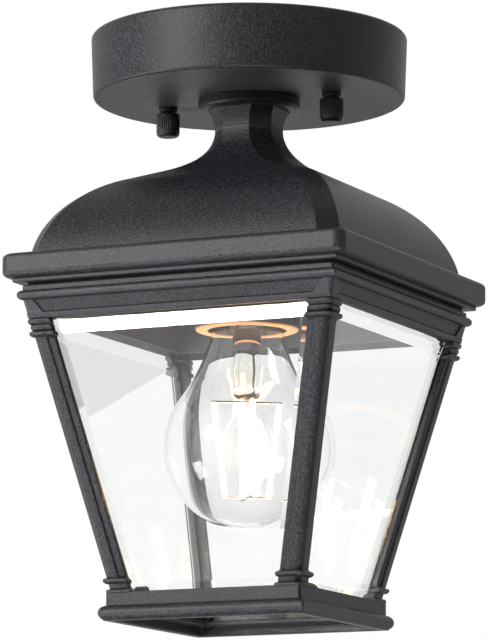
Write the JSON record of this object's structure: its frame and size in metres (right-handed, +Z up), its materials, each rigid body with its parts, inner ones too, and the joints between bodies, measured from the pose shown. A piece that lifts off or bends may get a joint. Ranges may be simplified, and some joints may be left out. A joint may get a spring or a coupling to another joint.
{
  "type": "porch ceiling lantern",
  "caption": "Square ceiling lantern: round canopy, bell-shaped roof, four leaning posts with bevelled clear panes, open bottom and a clear bulb.",
  "frame": {"origin": "middle of the ceiling face, on the lantern's vertical axis", "axes": "+Z up into the ceiling, +X along the crossbar and the two cap nuts, -Y towards the wide visible face"},
  "size_m": [0.1338, 0.1338, 0.2158],
  "materials": {
    "black_steel": "black fine-textured powder coat on pressed steel",
    "black_cast": "black fine-textured powder coat on cast aluminium",
    "zinc_steel": "zinc-plated steel",
    "green_screw": "green-dyed steel",
    "ceramic_holder": "dark glazed porcelain with a bare lower rim",
    "brass_shell": "drawn brass",
    "nickel_base": "nickel-plated sleeve",
    "solder_tip": "soldered tip",
    "bulb_insulator": "black glass insulator",
    "bulb_glass": "thin clear blown glass",
    "stem_glass": "clear pressed glass",
    "bevelled_glass": "clear bevelled float glass",
    "light_rods": "glowing phosphor-coated rods, lit",
    "bulb_wire": "nickel wire",
    "black_lead": "black insulated lead",
    "white_lead": "white insulated lead",
    "connector_plastic": "moulded twist-on connector"
  },
  "bodies": {
    "lantern": {"crossbar": "zinc_steel", "mounting_studs": "zinc_steel", "stud_lock_nuts": "zinc_steel", "ground_screw": "green_screw", "canopy": "black_steel", "threaded_tube": "zinc_steel", "canopy_washer": "zinc_steel", "canopy_nut": "zinc_steel", "neck_collar": "black_cast", "roof": "black_cast", "roof_washer": "zinc_steel", "roof_nut": "zinc_steel", "top_frame": "black_cast", "roof_screws": "zinc_steel", "bottom_frame": "black_cast", "glass_clips": "black_cast", "lampholder_cap": "zinc_steel", "lampholder_body": "ceramic_holder", "lampholder_shell": "brass_shell", "lampholder_contact": "brass_shell", "lead_black": "black_lead", "lead_white": "white_lead", "wire_connectors": "connector_plastic", "post_back_right": "black_cast", "post_back_left": "black_cast", "post_front_left": "black_cast", "post_front_right": "black_cast", "glass_right": "bevelled_glass", "glass_back": "bevelled_glass", "glass_left": "bevelled_glass", "glass_front": "bevelled_glass"},
    "cap_nut_left": {"cap_nut_left": "black_cast"},
    "cap_nut_right": {"cap_nut_right": "black_cast"},
    "bulb_envelope": {"bulb_glass": "bulb_glass"},
    "bulb_core": {"bulb_tip": "solder_tip", "bulb_insulator": "bulb_insulator", "bulb_base": "nickel_base", "bulb_stem": "stem_glass", "bulb_light_rods": "light_rods", "bulb_wires": "bulb_wire"}
  },
  "joints": [
    {"name": "cap_nut_left_turn", "type": "hinge", "parent": "lantern", "child": "cap_nut_left", "pos_m": [-0.033, 0, -0.0289], "axis": [0, 0, 1], "continuous": true},
    {"name": "cap_nut_right_turn", "type": "hinge", "parent": "lantern", "child": "cap_nut_right", "pos_m": [0.033, 0, -0.0289], "axis": [0, 0, 1], "continuous": true},
    {"name": "bulb_travel", "type": "slide", "parent": "lantern", "child": "bulb_envelope", "axis": [0, 0, -1], "range_m": [0, 0.01815]},
    {"name": "bulb_turn", "type": "hinge", "parent": "bulb_envelope", "child": "bulb_core", "pos_m": [0, 0, -0.09], "axis": [0, 0, -1], "range_deg": [0, 1800]}
  ],
  "couplings": [
    {"joint": "bulb_turn", "follows": "bulb_travel", "rad_per_m": 1731.4}
  ]
}
